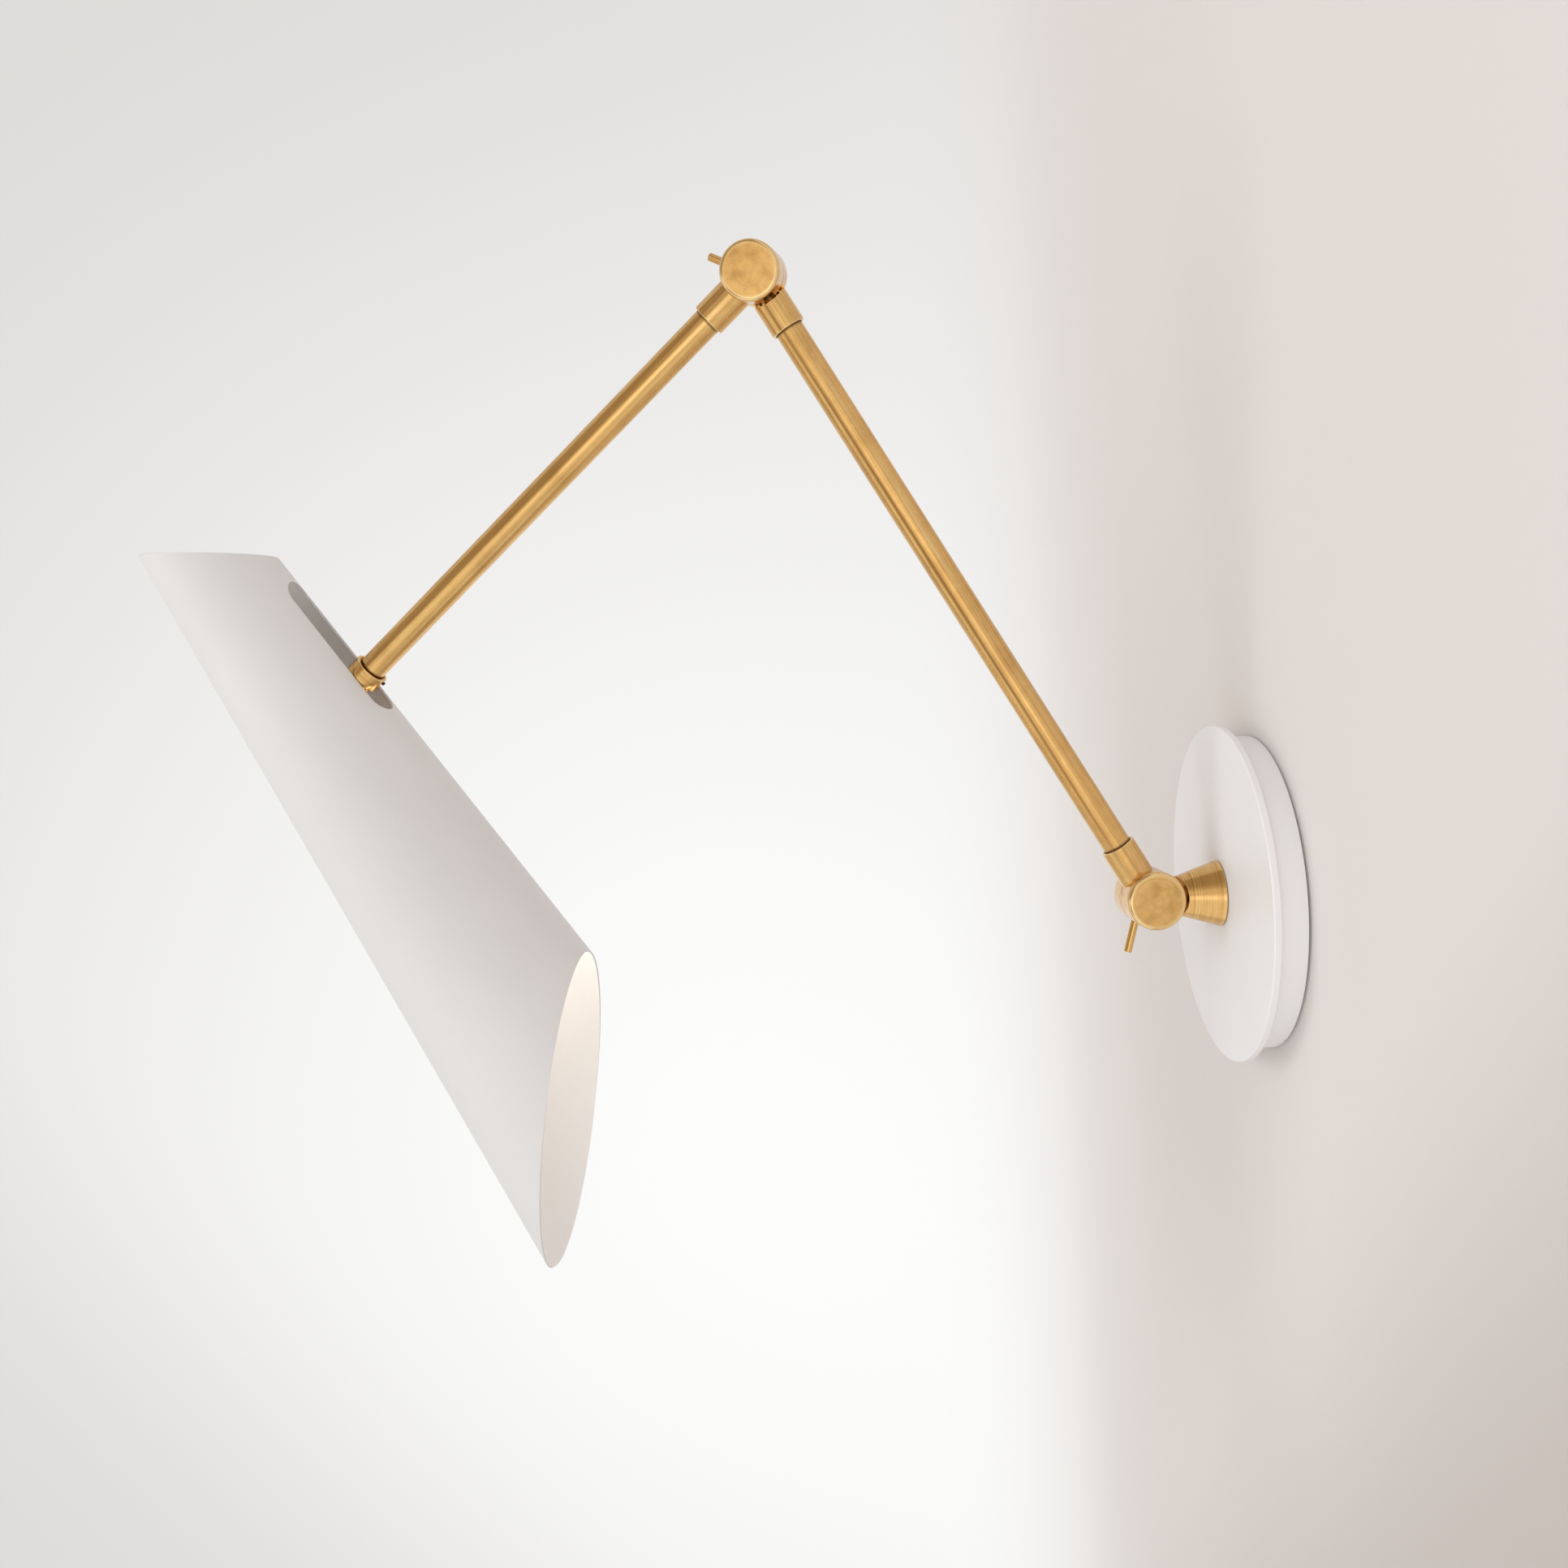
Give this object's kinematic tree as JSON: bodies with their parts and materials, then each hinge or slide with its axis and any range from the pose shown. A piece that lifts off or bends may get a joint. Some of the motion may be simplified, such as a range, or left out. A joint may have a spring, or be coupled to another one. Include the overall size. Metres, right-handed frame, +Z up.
{
  "type": "articulating wall lamp",
  "caption": "Wall lamp with a round stepped canopy, jointed brass tube arms with clamp knuckles, and a slanted white cone shade slotted for the arm.",
  "frame": {"origin": "centre of the crossbar's back face, on the wall", "axes": "+Y into the wall, -Y out into the room, +Z up, +X towards the plain caps of the knuckles"},
  "size_m": [0.1852, 0.5007, 0.4694],
  "materials": {
    "white_paint": "satin",
    "aged_brass": "satin",
    "steel": "satin",
    "green_paint": "gloss",
    "blackened_steel": "satin",
    "fibre": "matte",
    "ceramic_body": "satin",
    "plain_brass": "satin",
    "nickel": "satin",
    "frosted_glass": "satin"
  },
  "bodies": {
    "canopy": {"crossbar": "steel", "ground_screw": "green_paint", "centre_nipple": "steel", "nipple_jam_nut": "steel", "canopy_drum": "white_paint", "canopy_disc": "white_paint", "swivel_bushing": "aged_brass"},
    "base": {"base_cone": "aged_brass", "base_grub_screw": "blackened_steel", "lower_friction_washer": "fibre"},
    "lower_clamp": {"lower_clamp_screw": "aged_brass", "lower_clamp_bar": "aged_brass"},
    "lower_arm": {"lower_knuckle": "aged_brass", "lower_arm_tube": "aged_brass", "elbow_swivel_plug": "aged_brass"},
    "elbow_base": {"elbow_knuckle_rear": "aged_brass", "elbow_grub_screw": "blackened_steel", "elbow_friction_washer": "fibre"},
    "elbow_clamp": {"elbow_clamp_screw": "aged_brass", "elbow_clamp_bar": "aged_brass"},
    "upper_arm": {"elbow_knuckle_front": "aged_brass", "upper_arm_tube": "aged_brass", "arm_collar": "aged_brass", "collar_screw": "blackened_steel", "hinge_tongue": "aged_brass"},
    "shade": {"shade_fork": "steel", "tilt_screw": "steel", "tilt_nut": "steel", "fork_nut": "steel", "socket_cap": "aged_brass", "socket_body": "ceramic_body", "socket_shell": "plain_brass", "socket_contact": "plain_brass", "shade_spider": "white_paint", "shade_ring": "ceramic_body", "bulb_cap": "nickel", "bulb_glass": "frosted_glass", "shade": "white_paint"}
  },
  "joints": [
    {"name": "base_swivel", "type": "hinge", "parent": "canopy", "child": "base", "pos_m": [0, -0.017, 0], "axis": [0, 1, 0], "range_deg": [-80, 80]},
    {"name": "lower_arm_pivot", "type": "hinge", "parent": "base", "child": "lower_arm", "pos_m": [0, -0.048, 0], "axis": [1, 0, 0], "range_deg": [-25, 60]},
    {"name": "lower_clamp_turn", "type": "hinge", "parent": "base", "child": "lower_clamp", "pos_m": [0, -0.048, 0], "axis": [1, 0, 0], "range_deg": [-60, 60]},
    {"name": "elbow_swivel", "type": "hinge", "parent": "lower_arm", "child": "elbow_base", "pos_m": [0, -0.20804, 0.28287], "axis": [0, -0.4924, 0.8704], "range_deg": [-18, 42]},
    {"name": "elbow_clamp_turn", "type": "hinge", "parent": "elbow_base", "child": "elbow_clamp", "pos_m": [0, -0.20804, 0.28287], "axis": [0.9781, -0.181, -0.1024], "range_deg": [-60, 60]},
    {"name": "elbow_pivot", "type": "hinge", "parent": "elbow_base", "child": "upper_arm", "pos_m": [0, -0.20804, 0.28287], "axis": [0.9781, -0.181, -0.1024], "range_deg": [-100, 6]},
    {"name": "shade_tilt", "type": "hinge", "parent": "upper_arm", "child": "shade", "pos_m": [-0.05928, -0.42477, 0.09953], "axis": [0.9781, -0.181, -0.1024], "range_deg": [-38, 16]}
  ]
}
